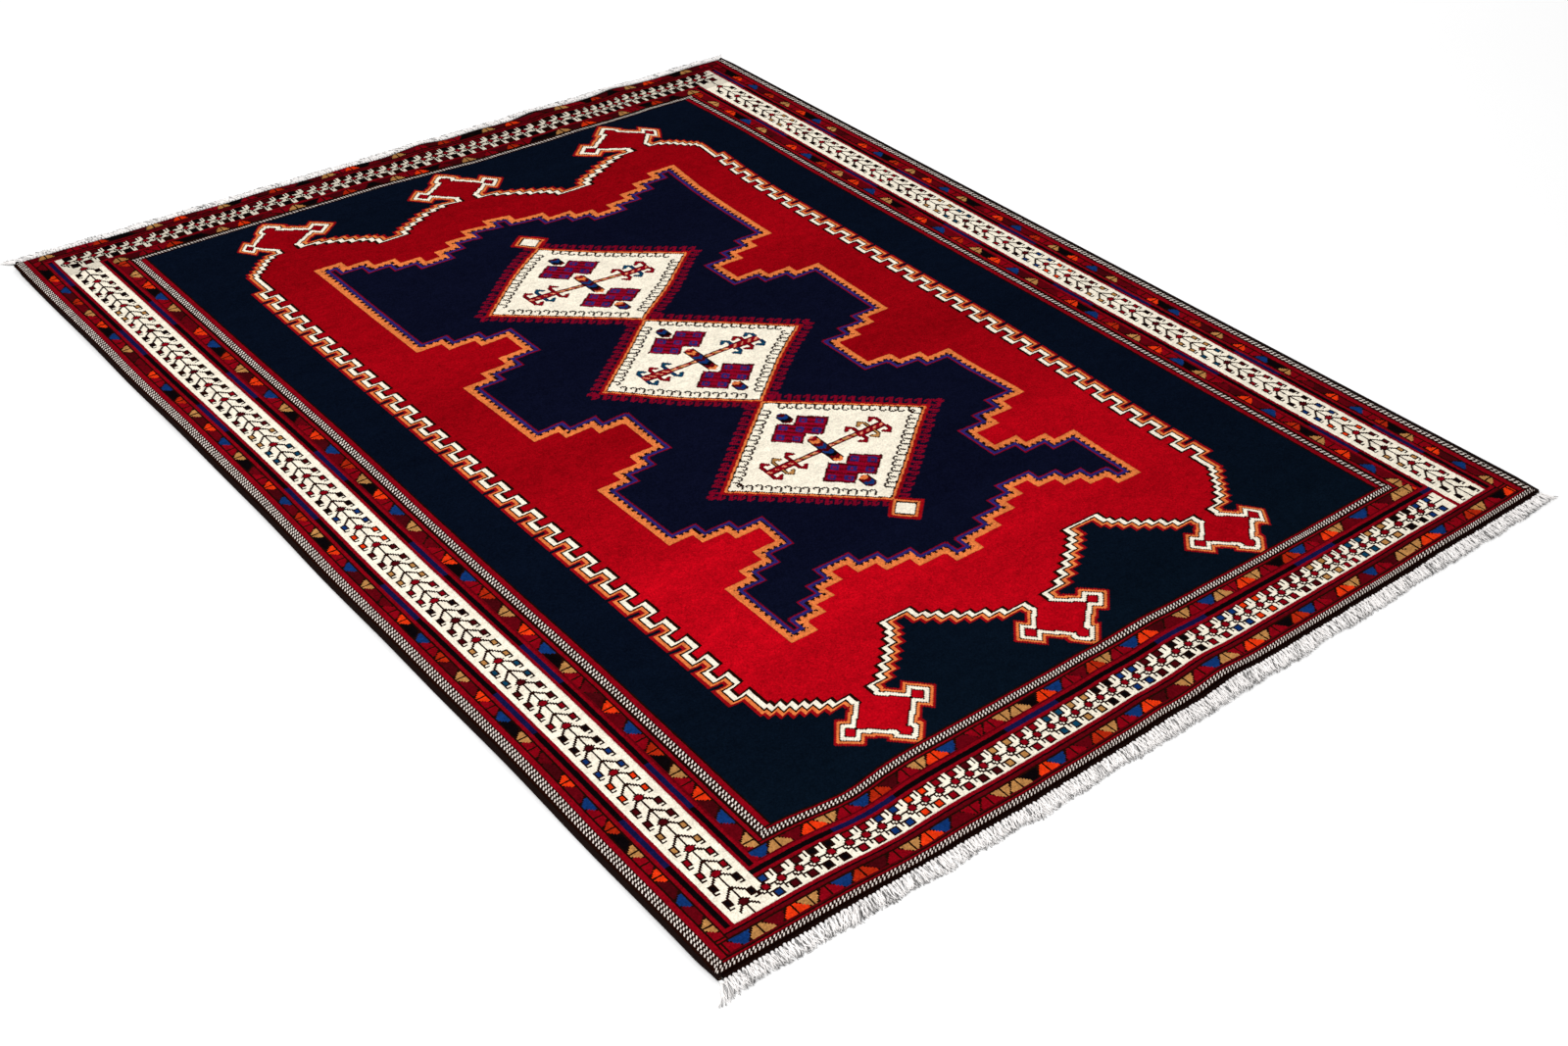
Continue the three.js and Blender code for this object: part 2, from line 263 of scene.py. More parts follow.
def paint_guard(outer, inner, shift):
    """Triangles that point in and out by turns, with dark outlines and a dark middle line."""
    for side, (where, along, across, width) in strips(outer, inner).items():
        outs, ins = (SIDE_OUT, SIDE_IN) if side in ("left", "right") else (GUARD_OUT, GUARD_IN)
        if side == "back":
            outs, ins = BACK_OUT, BACK_IN
        moved = along + shift
        place = (moved + 5) % GUARD_PITCH - 9
        other = (moved - 4) % GUARD_PITCH - 9
        height = across - (width - 7 + 1) // 2
        up = np.abs(place) <= 6.9 - 0.9 * height
        down = ~up & (np.abs(other) <= 1.3 + 0.9 * height)
        up_dye = np.array([DYE[n] for n in outs])[((moved + 5) // GUARD_PITCH) % len(outs)]
        down_dye = np.array([DYE[n] for n in ins])[((moved - 4) // GUARD_PITCH) % len(ins)]
        out = np.full(along.shape, DYE["brown"])
        out[down] = down_dye[down]
        out[up] = up_dye[up]
        seam = (up & (place == 0)) | (down & (other == 0))
        out[seam & np.isin(out, SEAMED)] = DYE["brown"]
        out[(height < 0) | (height > 6)] = DYE["guard_red"]
        out[across == width - 1] = DYE["brown"]
        colour[where] = out


SIDE_UNIT = 10.3
END_UNIT = 9.3
SIDE_DYES = ("maroon black line_red tan maroon orange_red blue black line_red maroon teal tan").split()
END_DYES = ("blue maroon black line_red blue orange_red line_red maroon tan line_red teal tan "
    "black").split()
# dark dyes for the back's squares: partly the rug's own, partly painted shade of the far pile seen at
# a grazing angle
FAR_SHADED_DYES = "black maroon black guard_red brown black brown".split()


def square_dye(dyes, k):
    """Squares take the same dye two at a time."""
    return dyes[(k + 1) // 2 % len(dyes)]


def paint_box(r0, r1, c0, c1, name):
    """A square of knots with a dark rim."""
    colour[r0:r1 + 1, c0:c1 + 1] = DYE["brown"]
    colour[r0 + 1:r1, c0 + 1:c1] = DYE[name]


def paint_rhomb(r, c, name, core=2):
    """A small diamond of knots with a dark rim."""
    for dr in range(-2, 3):
        reach = 3 - abs(dr)
        put([r + dr] * (2 * reach + 1), range(c - reach, c + reach + 1), "brown")
        fill = min(reach - 1, core)
        if fill > 0:
            put([r + dr] * (2 * fill + 1), range(c - fill, c + fill + 1), name)


def paint_side_tree(c, r0, r1, first, k):
    """A stem with drooping arms, each ending in a small square and a hook."""
    colour[r0:r1, c] = DYE["brown"]
    top = r0 + first
    while top < r1 - 3:
        r = int(round(top))
        for s in (-1, 1):
            for a in range(1, 6):
                for rr in (r - a, r - a + 1):
                    if rr >= r0:
                        put([rr], [c + s * a], "brown")
            if r - 9 >= r0:
                inner, far = c + s * 5, c + s * 9
                lo, hi = min(inner, far - s), max(inner, far - s)
                # towards the back the squares take the dark back dyes, partly painted shade
                dyes = SIDE_DYES if r < 560 else FAR_SHADED_DYES + SIDE_DYES[:4]
                paint_box(r - 9, r - 5, lo, hi, square_dye(dyes, k))
                put([r - 10, r - 11, r - 11, r - 11],
                    [far - s, far - s, far - 2 * s, far - 3 * s], "brown")
        if k % 2 == 0:
            paint_rhomb(r, c, "line_red" if k % 6 else "maroon")
        k += 1
        top += SIDE_UNIT


END_HOOK = [(7, 5), (7, 6), (7, 7), (6, 7), (5, 7), (4, 7)]
END_ARM = [(-1, -4), (-2, -4), (-2, -3), (-3, -3), (-3, -2), (-4, -1), (-3, -1), (-4, 0),
           (-5, -1), (-6, -1), (-4, 1), (2, -1), (2, 0), (2, 1), (3, 0)]


def paint_end_row(r, c0, c1, dyes, bold=0):
    """A line of small diamonds, each joined to a square above and one below."""
    colour[r, c0 + 1:c1 - 1] = DYE["brown"]
    k = 0
    while c0 + 5 + k * END_UNIT < c1 - 6:
        c = int(round(c0 + 5 + k * END_UNIT))
        name = square_dye(dyes, k)
        paint_box(r + 3, r + 7 + bold, c, c + 4 + bold, name)
        paint_box(r - 8 - bold, r - 4, c + 1, c + 5 + bold, name)
        put([r + a for a, b in END_HOOK], [c + b for a, b in END_HOOK], "brown")
        put([r + a for a, b in END_ARM], [c + b for a, b in END_ARM], "brown")
        paint_rhomb(r, c, "line_red", 1)
        k += 1


def paint_main_border():
    """The ivory border: the side trees run down to the front corners, the end row over the back."""
    parts = strips("pile_main_border", "pile_inner_twin_lines")
    for where, along, across, width in parts.values():
        colour[where] = DYE["ivory"]
    front_rows = parts["front"][0][0]
    for side in ("left", "right"):
        rows, cols = parts[side][0]
        middle = (cols.start + cols.stop) // 2 - (side == "left")
        first, k = (8.0, 0) if side == "left" else (12.0, 1)
        paint_side_tree(middle, front_rows.start, rows.stop, first, k)
    middle_cols = slice(parts["left"][0][1].stop, parts["right"][0][1].start)
    paint_end_row(front_rows.start + 9, middle_cols.start - 5, middle_cols.stop - 2, END_DYES)
    colour[front_rows, middle_cols.stop - 3:middle_cols.stop] = DYE["line_red"]
    rows, cols = parts["back"][0]
    # the back row is drawn bolder and in dark dyes, partly painted shade of the far pile
    paint_end_row(rows.start + 9, cols.start, cols.stop, FAR_SHADED_DYES, 1)


def paint_borders():
    starts = {"front": 0.1, "back": 0.5, "left": 1.2, "right": 0.7}
    paint_barber("pile_outer_stripe", "pile_outer_line", starts,
                 {"front": 2, "back": 1, "left": 3, "right": 2})
    paint_line("pile_outer_line", "pile_outer_guard")
    paint_guard("pile_outer_guard", "pile_outer_twin_lines", 3)
    paint_twin("pile_outer_twin_lines", "pile_main_border")
    paint_main_border()
    paint_twin("pile_inner_twin_lines", "pile_inner_guard")
    paint_guard("pile_inner_guard", "pile_inner_line", 9)
    paint_line("pile_inner_line", "pile_inner_stripe")
    starts = {"front": 0.3, "back": 0.3, "left": 0.5, "right": 0.9}
    paint_barber("pile_inner_stripe", "pile_field_line", starts,
                 {"front": 2, "back": 2, "left": 2, "right": 2})
    paint_line("pile_field_line", "pile_field", "line_red")
    colour[NY - 1, :] = DYE["black"]


# ---- medallion

# Half of a pendant's red ground, in mm: (out from its middle, in from the medallion's tip).
PENDANT = [(0, 12), (8, 19), (8, 22), (5, 27), (43, 62), (9, 94), (9, 116)]
FRONT_WIDE, BACK_WIDE = 1.06, 1.15     # how much broader the pendants are woven
EYE_OUT, EYE_IN, EYE_REACH = 53.5 * MM, 62 * MM, 9.5 * MM      # the small diamond at its side
STAIRS = [(33, 125), (48, 136.5), (61.5, 148), (75, 159.5), (88, 171), (99, 183), (107, 198.5)]
STAIR_TOP = 114 * MM
PLATEAU = 198.5 * MM
STRETCH = ((-1, 0.97, 1.02), (0, 1.38, 1.20), (1, 1.10, 0.98))  # of the stairs: left, right
DEPTHS = [-50, 100, 198.5, 423]
BACK_DEPTHS = [-50, 100, 176, 400]  # the stairs at the back are woven flatter
SHOULDER = 41 * MM                # the side's inner edge, in from the medallion's outer edge
PENDANT_INSET = 143 * MM
RINGS = [  # outwards from the red ground: dye, columns and rows on the stairs, knots on slants
    ("brown", 2, 1, 1), ("ivory", 3, 1, 3), ("brown", 1, 1, 1), ("orange", 2, 1, 2),
    ("edge_red", 2, 1, 2),
]


FIELD_NODES = ["pile_field", "pile_medallion_outline", "pile_medallion"]


def pendant_shape(x, left, right, depth, wide):
    """One pendant at x, wide times as broad, with the stairs on both its sides."""
    half = [(x + a * wide * MM, b * MM) for a, b in PENDANT]
    other = [(x - a * wide * MM, b * MM) for a, b in reversed(PENDANT)]
    shape = inside_polygon(half + other, GX, depth)
    shape |= np.abs(np.abs(GX - x) - EYE_OUT * wide) + np.abs(depth - EYE_IN) < EYE_REACH
    low = STAIR_TOP
    for reach, high in STAIRS:
        across = (GX > x - reach * left * MM) & (GX < x + reach * right * MM)
        shape |= across & (depth >= low) & (depth < high * MM)
        low = high * MM
    return shape


def pendant_ground(ground):
    """Swaps the CAD's plain pendants for ones with small side diamonds, stairs between."""
    (x0, y0, _), (x1, y1, _) = BOXES["pile_medallion_outline"]
    middle = (x0 + x1) / 2
    spread = (x1 - x0) / 2 - PENDANT_INSET
    slanting = np.zeros_like(ground)
    for tip, way, depths, wide in ((y0, 1, DEPTHS, FRONT_WIDE), (y1, -1, BACK_DEPTHS, BACK_WIDE)):
        depth = np.interp((GY - tip) * way / MM, depths, DEPTHS) * MM
        depth[(GY - tip) * way < -20 * MM] = -MM
        end = (depth < PLATEAU) & (depth > -20 * MM)
        shape = np.zeros_like(ground)
        for k, left, right in STRETCH:
            shape |= pendant_shape(middle + k * spread, left, right, depth, wide)
        shape &= np.abs(GX - middle) < (x1 - x0) / 2 - SHOULDER
        ground = np.where(end & ((GY - tip) * way < 400 * MM), shape, ground)
        plateau = (depth >= PLATEAU) & (depth < PLATEAU + 60 * MM)
        ground |= plateau & (np.abs(GX - middle) < (x1 - x0) / 2 - SHOULDER)
        slanting |= end & (depth < 96 * MM) & ((GY - tip) * way < 100 * MM)
    return ground, slanting


def paint_medallion(owner):
    """The red ground and the lines round it; the owners follow the painted shape."""
    names = ["pile_medallion", "pile_inner_outline", "pile_inner_field"]
    names += DIAMOND_NODES + SQUARE_NODES
    ground = np.isin(owner, [NODE_INDEX[n] for n in names])
    ground, slanting = pendant_ground(ground)
    field = ground | np.isin(owner, [NODE_INDEX[n] for n in FIELD_NODES])
    owner[field & ~ground] = NODE_INDEX["pile_field"]
    owner[ground & (owner < NODE_INDEX["pile_medallion"])] = NODE_INDEX["pile_medallion"]
    colour[field] = DYE["navy"]
    colour[ground] = DYE["red"]
    inner = ground
    for name, nx, ny, knots in RINGS:
        square = grown(inner, nx, ny)
        slant = inner
        for _ in range(knots):
            slant = grown(slant, 1, 1, corners=False)
        wider = np.where(slanting, slant, square)
        ring = wider & ~inner & field
        colour[ring] = DYE[name]
        owner[ring] = NODE_INDEX["pile_medallion_outline"]
        inner = wider | inner
    return ground


def reach_from_edge(mask):
    """How many knots each knot of mask is from outside, sideways and lengthways."""
    side = np.full(mask.shape, 99)
    end = np.full(mask.shape, 99)
    for k in range(12, 0, -1):
        side[mask & ~(shifted(mask, k, 0) & shifted(mask, -k, 0))] = k
        end[mask & ~(shifted(mask, 0, k) & shifted(mask, 0, -k))] = k
    return side, end


TOOTH = 11 * MM
TOOTH_WIDTHS = {4: 0.33, 5: 0.16}


def paint_inner(owner):
    """The navy inner medallion: an orange line with teeth, then blue and wine-red lines."""
    names = ["pile_inner_outline", "pile_inner_field"] + DIAMOND_NODES + SQUARE_NODES
    shape = np.isin(owner, [NODE_INDEX[n] for n in names])
    colour[shape] = DYE["inner_navy"]
    side, end = reach_from_edge(shape)
    left = shape.copy()
    for ring in range(1, 9):
        core = left
        for dx in (-1, 0, 1):
            for dy in (-1, 0, 1):
                core = core & shifted(left, dx, dy)
        band = left & ~core
        along = np.where(side < end, GY, GX)
        phase = np.abs(along / TOOTH % 1 - 0.5)
        if ring <= 3:
            colour[band] = DYE["orange"]
        elif ring <= 5:
            tooth = phase < TOOTH_WIDTHS[ring]
            colour[band] = np.where(tooth, DYE["orange"], DYE["brown"])[band]
        elif ring <= 7:
            colour[band] = DYE["figure_blue"]
        else:
            colour[band] = DYE["hook_red"]
        left = core


# ---- diamonds

HOOK_PITCH = 10.9 * MM
# Knots of one hook, (out along the row, up), as on a diamond's lower left edge.
HOOK_IN = [(0, 0), (1, 0), (1, 1), (2, 1), (2, 2), (3, 2), (3, 3), (3, 4), (2, 4), (2, 5),
           (1, 5), (0, 5), (0, 4)]
HOOK_OUT = [(0, -1), (-1, -2), (-2, -3), (-4, -5), (-5, -4), (0, 0), (-1, 0), (-1, -1),
            (-2, -1), (-2, -2), (-3, -2), (-3, -3), (-4, -3),
            (-4, -4), (-3, -4), (-3, -5), (-2, -5), (-1, -5), (-1, -4), (0, -4)]


def diamond_box(name):
    (x0, y0, _), (x1, y1, _) = BOXES[name]
    return (x0 + x1) / 2, (y0 + y1) / 2, (x1 - x0) / 2, (y1 - y0) / 2


def paint_diamond_rings(name):
    """The outlines of a diamond, measured sideways in from its corners."""
    cx, cy, a, b = diamond_box(name)
    inward = (1 - np.abs(GX - cx) / a - np.abs(GY - cy) / b) * a
    near = (np.abs(GY - cy) < b + 12 * MM) & (inward > -8 * MM)
    inner = near & (colour == DYE["inner_navy"])
    colour[inner & (inward > -8 * MM)] = DYE["edge_red"]
    colour[near & (inward > 0)] = DYE["orange"]
    colour[near & (inward > 5 * MM)] = DYE["brown"]
    colour[near & (inward > 8.6 * MM)] = DYE["ivory"]
    return inward


def stamp(cells, r, c, sx, sy, name, only):
    """Colours a small pattern of knots, turned by sx and sy, on one ground colour only."""
    for dc, dr in cells:
        rr, cc = r + sy * dr, c + sx * dc
        if colour[rr, cc] == DYE[only]:
            colour[rr, cc] = DYE[name]


def paint_hooks(name):
    """Rows of small hooks along both sides of each edge of a diamond."""
    cx, cy, a, b = diamond_box(name)
    inset = 9 * MM
    count = int((a - 2 * inset) / HOOK_PITCH)
    for sx in (-1, 1):
        for sy in (-1, 1):
            for k in range(-1, count + 3):
                along = inset + k * HOOK_PITCH
                x = cx + sx * along
                y = cy + sy * (b * (1 - along / a))
                if 1 <= k < count:
                    r, c = row_at(y - sy * 6 * MM), col_at(x - sx * 4 * MM)
                    stamp(HOOK_IN, r, c, -sx, -sy, "brown", "ivory")
                r, c = row_at(y + sy * 2 * MM), col_at(x + sx * 3 * MM)
                stamp(HOOK_OUT, r, c, -sx, -sy, "hook_red", "inner_navy")


def paint_figure(cx, cy):
    """Two overlapping rhombs with seven small blue ones."""
    for a, b, name in ((38, 32.5, "maroon"), (34, 29, "figure")):
        for sx in (-1, 1):
            s = np.abs(GX - cx - sx * 19.5 * MM) / (a * MM) + np.abs(GY - cy) / (b * MM)
            colour[s < 1] = DYE[name]
    slant = ((GX + GY * 1.1) / (8 * MM)) % 2 < 0.5
    body = colour == DYE["figure"]
    near = (np.abs(GX - cx) < 60 * MM) & (np.abs(GY - cy) < 33 * MM)
    colour[body & near & slant] = DYE["maroon"]
    for dx, dy in ((-38, 0), (-19, 17), (-19, -17), (0, 0), (19, 17), (19, -17), (38, 0)):
        r = np.abs(GX - cx - dx * MM) + np.abs(GY - cy - dy * MM)
        colour[r < 9.2 * MM] = DYE["figure_blue"]
        colour[r < 3.6 * MM] = DYE["figure"]


BAR_DYES = ("maroon blue guard_red orange line_red salmon line_red orange_red violet line_red "
    "orange guard_red black blue").split()


def paint_bar(cx, cy):
    """The upright bar of chevrons through the middle of a diamond, with a cap at each end."""
    dx = np.abs(GX - cx)
    up = GY - cy
    dy = np.abs(up)
    wide = dx < 10.5 * MM
    middle = wide & (up < 38 * MM - 0.5 * dx) & (up > -39 * MM + 0.7 * dx)
    caps = wide & (dy > 84 * MM + 0.6 * dx) & (dy < 114 * MM - np.maximum(0, dx - 5 * MM))
    turn = ((up - 0.7 * dx + 120 * MM) / (8 * MM)).astype(int) % len(BAR_DYES)
    table = np.array([DYE[n] for n in BAR_DYES])
    bar = middle | caps
    colour[bar] = table[turn][bar]
    colour[bar & (dx > 8 * MM)] = DYE["brown"]


RIMS = {"tan": "brown", "line_red": "guard_red", "teal": "dark_blue", "maroon": "black"}
ANCHOR_DYES = {
    "pile_diamond_front": ["line_red", "tan", "line_red"],
    "pile_diamond_middle": ["teal", "line_red", "teal"],
    "pile_diamond_back": ["line_red", "teal", "line_red"],
}
# One hook by rows up from the body: (row, first knot, last knot) in from its outer edge.
ANCHOR_HOOK = [(3, 0, 2), (4, 0, 2), (5, 0, 2), (6, 0, 2), (6, 5, 7), (7, 0, 7), (8, 1, 6),
               (9, 2, 5), (10, 3, 4)]
ANCHOR_REACH, ANCHOR_STEP = 113 * MM, 23 * MM


def paint_anchor(cx, cy, sx, names):
    """A short body with three pairs of hooks that curl back to the middle."""
    out = (GX - cx) * sx
    body = (out > 59 * MM) & (out < ANCHOR_REACH) & (np.abs(GY - cy) < 8.2 * MM)
    colour[body] = DYE["line_red"]
    colour[body & (np.abs(GY - cy) > 5.5 * MM)] = DYE["maroon"]
    dash = body & (np.abs(GY - cy) < 3.4 * MM) & (((out - GY + cy) / (6.5 * MM)) % 2 < 0.7)
    colour[dash] = DYE["salmon"]
    r = row_at(cy)
    for k in (0, 2, 1):
        name = names[k]
        c = col_at(cx + sx * (ANCHOR_REACH - k * ANCHOR_STEP))
        for row, first, last in ANCHOR_HOOK:
            for sy in (-1, 1):
                for t in range(first, last + 1):
                    rim = t in (first, last) or row == 10
                    colour[r + sy * row, c - sx * t] = DYE[RIMS[name] if rim else name]


def paint_stem(cx, cy):
    """The thin line that joins the two anchors."""
    long = np.abs(GX - cx)
    lift = np.where(GX > cx, 2.0 * MM, -0.5 * MM)
    stem = (long > 10 * MM) & (long < 60 * MM) & (np.abs(GY - cy - lift) < 4.6 * MM)
    colour[stem] = DYE["maroon"]
    core = stem & (np.abs(GY - cy - lift) < 2.6 * MM)
    pick = ((GX + GY) / (5.5 * MM)).astype(int) % 3
    dyes = np.array([DYE["salmon"], DYE["line_red"], DYE["tan"]])
    colour[core] = dyes[pick][core]


def paint_diamonds():
    for name in SQUARE_NODES + DIAMOND_NODES:
        paint_diamond_rings(name)
    for name in DIAMOND_NODES:
        cx, cy, a, b = diamond_box(name)
        paint_hooks(name)
        paint_bar(cx, cy)
        paint_figure(cx, cy - 63 * MM)
        paint_figure(cx, cy + 63 * MM)
        paint_stem(cx, cy)
        for sx in (-1, 1):
            paint_anchor(cx, cy, sx, ANCHOR_DYES[name])


# ---- dye lots, streaks and painted shade

def smooth_noise(rng, shape, cells_y, cells_x):
    """Soft random values from -1 to 1 over the grid."""
    coarse = rng.uniform(-1, 1, (cells_y + 3, cells_x + 3))
    y = np.linspace(0.5, cells_y + 1.5, shape[0])
    x = np.linspace(0.5, cells_x + 1.5, shape[1])
    yi, xi = y.astype(int), x.astype(int)
    fy = (y - yi)[:, None]
    fx = (x - xi)[None, :]
    fy = fy * fy * (3 - 2 * fy)
    fx = fx * fx * (3 - 2 * fx)
    a = coarse[yi][:, xi]
    b = coarse[yi][:, xi + 1]
    c = coarse[yi + 1][:, xi]
    d = coarse[yi + 1][:, xi + 1]
    return (a * (1 - fx) + b * fx) * (1 - fy) + (c * (1 - fx) + d * fx) * fy


RED_LOTS_Y = [-0.62, -0.565, -0.465, -0.385, -0.295, -0.185, -0.085, 0.015, 0.165, 0.315,
              0.465, 0.615, 0.765]
RED_LOTS = [1.45, 1.62, 1.5, 1.6, 1.18, 1.13, 0.90, 1.0, 0.90, 1.08, 0.97, 0.86, 0.84]


FAR_END, FAR_SHADE, FAR_IVORY_SHADE = 0.885, 0.8, 0.9    # painted shade: the back border is drawn darker, as the far pile is seen at a grazing angle
RED_RIGHT_DARKENING = 0.17                                # how much darker the right front red is drawn


def knot_colours(rng):
    """The linear colour of each knot: its dye, the dye lot, streaks, single odd knots, and painted
    shade over the back end.
    """
    table = np.array([DYES[n] for n in DYE_NAMES])
    out = table[colour]
    rows = smooth_noise(rng, (NY, NX), 90, 2) * 0.05 + smooth_noise(rng, (NY, NX), 30, 3) * 0.06
    spots = smooth_noise(rng, (NY, NX), 160, 110) * 0.07
    knots = rng.normal(0, 0.10, (NY, NX)).clip(-0.25, 0.25)
    factor = (1 + rows + spots + knots)[..., None]
    bright = np.isin(colour, [DYE["ivory"], DYE["stripe_white"]])
    factor = np.where(bright[..., None], 1 + (factor - 1) * 0.25, factor)
    lots = np.interp(GY + 12 * MM * smooth_noise(rng, (NY, NX), 8, 5), RED_LOTS_Y, RED_LOTS)
    lots = lots * (1 - RED_RIGHT_DARKENING * np.clip((GX + 0.1) / 0.4, 0, 1) * np.clip(0.5 - GY * 0.8, 0, 1))
    lots = lots[..., None]
    reds = np.isin(colour, [DYE["red"]])[..., None]
    out = out * np.where(reds, lots, 1.0) * factor
    blues = np.isin(colour, [DYE["navy"], DYE["inner_navy"]])
    near = np.clip((-0.45 - GY) / 0.35, 0, 1) * blues
    out[..., 1] *= 1 + 0.25 * near
    # painted shade: the back end is darkened, its ivory the more, as the far pile is seen at a grazing
    # angle
    far_end = GY > FAR_END
    out[far_end] *= FAR_SHADE
    out[far_end & (colour == DYE["ivory"])] *= FAR_IVORY_SHADE
    return np.clip(out, 0.0003, 0.93)


owner = owner_grid()
paint_borders()
paint_medallion(owner)
paint_inner(owner)
paint_diamonds()
rng = np.random.default_rng(SEED)
knot_rgb = knot_colours(rng)

# ---- how the rug lies

LEFT_Y = [-1.0, -0.88, -0.45, 0.2, 0.6, 0.9, 1.0]
LEFT_SHIFT = [-3.0, -2.0, 0.5, 0.0, -4.0, -10.0, -10.5]
SPREAD_X = [-0.56, -0.473, -0.338, -0.2, 0.0, 0.18, 0.32, 0.457, 0.56]
SPREAD = [0.0, -2.0, -22.0, -3.0, 0.0, 4.0, 30.0, 5.0, 0.0]
SKEW_Y = [-1.0, -0.68, -0.38, -0.08, 0.05, 0.32, 0.655, 0.775, 0.855, 0.905, 0.945, 1.0]
SKEW = [0.0, -4.0, -9.0, -13.0, -17.0, -18.0, -29.0, -24.0, -15.0, -12.0, -6.0, -1.0]
FRONT_X = [-0.75, -0.6, -0.45, -0.29, -0.06, 0.2, 0.75]
FRONT_SHIFT = [3.0, 2.0, -2.0, -6.0, -5.0, -3.0, 0.0]
# How far the front half strays sideways, in mm, fading out by the middle of the rug.
NEAR_X = [-0.56, -0.3, -0.18, -0.02, 0.16, 0.3, 0.37, 0.42, 0.475, 0.54]
NEAR = [0.0, 0.0, -3.0, -13.0, -3.0, -6.0, -5.0, -17.0, -18.0, 0.0]
SKEW_START_Y = [-0.3, 0.05, 0.35]
SKEW_START = [0.12, 0.05, -0.12]
BUMPS = [  # places where a motif strays alone: x, y, half widths in m, then dx, dy in mm
    (0.32, -0.33, 0.09, 0.09, 13.0, 0.0), (-0.19, 0.05, 0.08, 0.08, 9.0, 11.0),
    (-0.18, -0.50, 0.08, 0.08, -9.0, 0.0), (0.38, 0.72, 0.14, 0.14, 26.0, 0.0),
    (-0.35, 0.76, 0.08, 0.08, -8.0, 0.0), (-0.46, -0.60, 0.06, 0.25, 0.0, -24.0),
    (0.0, 0.48, 0.22, 0.22, -7.0, 0.0), (0.16, -0.44, 0.10, 0.08, 0.0, -8.0),
]
PILE_DX = -3 * MM
PILE_DY = -4 * MM


def smooth_step(t):
    t = np.clip(t, 0, 1)
    return t * t * (3 - 2 * t)


def weave_shift(x, y):
    """How far the hand-woven design strays from the straight one, in metres."""
    left = np.interp(y, LEFT_Y, LEFT_SHIFT) * (1 - smooth_step((x + 0.55) / 0.12))
    left = left + 1.2 * np.sin(y * 9.0) * (1 - smooth_step((x + 0.74) / 0.5))
    spread = np.interp(x, SPREAD_X, SPREAD) * smooth_step((y + 0.55) / 1.15)
    right = 4.0 * smooth_step((x - 0.70) / 0.04)
    near = np.interp(x, NEAR_X, NEAR) * smooth_step((-0.05 - y) / 0.5)
    dx = (left + spread + right + near) * MM
    start = np.interp(y, SKEW_START_Y, SKEW_START)
    dy = np.interp(y, SKEW_Y, SKEW) * smooth_step((x - start) / 0.2) * MM
    for bx, by, half_x, half_y, mx, my in BUMPS:
        bell = np.exp(-((x - bx) / half_x) ** 2 - ((y - by) / half_y) ** 2) * MM
        dx, dy = dx + mx * bell, dy + my * bell
    fade = np.exp(-((y + 0.985) / 0.12) ** 2)
    dy = dy + np.interp(x, FRONT_X, FRONT_SHIFT) * fade * MM
    return dx, dy


def ridge(x, middle, half):
    return np.exp(-((x - middle) / half) ** 2)


def ripple(x, y):
    """How high the rug lifts off the floor in its small waves, in metres."""
    front = 7.0 * ridge(x, 0.068, 0.042) + 2.5 * ridge(x, -0.05, 0.035)
    front = front + 1.5 * ridge(x, 0.52, 0.05) + 1.6 * ridge(x, -0.72, 0.05)
    front = front * np.exp(-np.clip(y + 0.985, 0, 9) / 0.17)
    wave = 0.5 + 0.5 * np.sin(x * 2 * math.pi / 0.165 + 1.1 + 1.5 * np.sin(x * 5))
    back = 1.8 * wave + 4.5 * ridge(x, 0.035, 0.04) + 4.5 * ridge(x, 0.28, 0.03)
    back = (back + 3.5 * ridge(x, 0.47, 0.03)) * np.exp(-np.clip(0.985 - y, 0, 9) / 0.08)
    left_wave = 0.5 + 0.5 * np.sin(y * 2 * math.pi / 0.31 + 0.6)
    left = 2.4 * left_wave * np.exp(-np.clip(x + 0.75, 0, 9) / 0.06)
    broad = 0.5 + 0.5 * np.sin(x * 7 + 1.0) * np.sin(y * 5 + 0.4)
    return np.maximum(0, front + back + left + 0.8 * broad) * MM


def laid(co, pile=False):
    """Moves points from the straight design to where the rug lies."""
    dx, dy = weave_shift(co[:, 0], co[:, 1])
    edge = smooth_step((np.abs(co[:, 1]) - 0.94) / 0.04)
    out = co.copy()
    if pile:
        out[:, 0] += dx + PILE_DX
        out[:, 1] += dy + PILE_DY
    else:
        out[:, 0] += dx * (1 - edge) * 0.6
        out[:, 1] += np.interp(co[:, 0], FRONT_X, FRONT_SHIFT) * (co[:, 1] < -0.9) * edge * MM
    out[:, 2] += ripple(co[:, 0], co[:, 1])
    return out


# ---- materials

def node(tree, kind, inputs=(), **values):
    """Adds a shader node. Each input is a value, or a socket to link from."""
    n = tree.nodes.new("ShaderNode" + kind)
    for key, value in values.items():
        setattr(n, key, value)
    for key, value in dict(inputs).items():
        if isinstance(value, bpy.types.NodeSocket):
            tree.links.new(value, n.inputs[key])
        else:
            n.inputs[key].default_value = value
    return n


def base_material(name, roughness, specular, sheen):
    mat = bpy.data.materials.new(name)
    mat.use_nodes = True
    shader = mat.node_tree.nodes["Principled BSDF"]
    shader.inputs["Roughness"].default_value = roughness
    shader.inputs["Specular IOR Level"].default_value = specular
    shader.inputs["Sheen Weight"].default_value = sheen
    shader.inputs["Sheen Roughness"].default_value = 0.5
    return mat, mat.node_tree, shader


def noise(tree, coords, scale, detail, stretch=None):
    source = coords.outputs["Object"]
    if stretch:
        source = node(tree, "Mapping", {"Scale": stretch, "Vector": source}).outputs["Vector"]
    inputs = {"Scale": scale, "Detail": detail, "Vector": source}
    return node(tree, "TexNoise", inputs).outputs["Fac"]


def attribute(tree, name, output):
    return node(tree, "Attribute", attribute_name=name).outputs[output]


